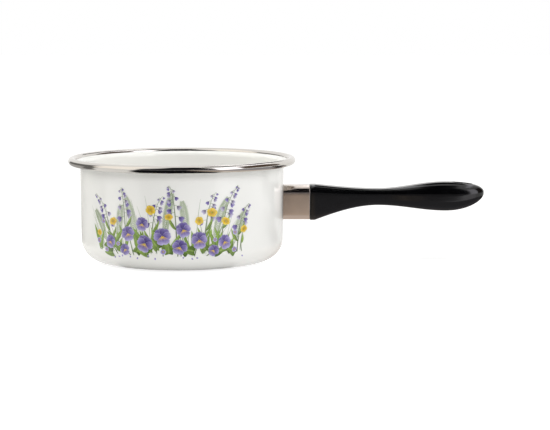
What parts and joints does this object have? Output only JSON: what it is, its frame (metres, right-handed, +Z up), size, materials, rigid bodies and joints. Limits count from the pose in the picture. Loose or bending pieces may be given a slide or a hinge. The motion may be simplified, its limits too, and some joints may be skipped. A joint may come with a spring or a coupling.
{
  "type": "saucepan",
  "caption": "White enamelled saucepan with a polished rolled rim, a steel flame guard and a black moulded side handle with a hanging slot.",
  "frame": {"origin": "centre of the disc that stands on the table, at table height", "axes": "+X along the handle towards its tip, +Z up through the mouth"},
  "size_m": [0.3317, 0.1808, 0.083],
  "materials": {
    "enamel": "gloss",
    "rim_steel": "polished",
    "guard_steel": "satin",
    "bracket_steel": "satin",
    "fastener_steel": "satin",
    "phenolic": "gloss"
  },
  "bodies": {
    "root": {"pan_body": "enamel", "rim_band": "rim_steel", "handle_bracket": "bracket_steel", "square_nut": "fastener_steel", "flame_guard": "guard_steel", "handle_grip": "phenolic", "fixing_screw": "fastener_steel", "spring_washer": "fastener_steel"}
  },
  "joints": []
}
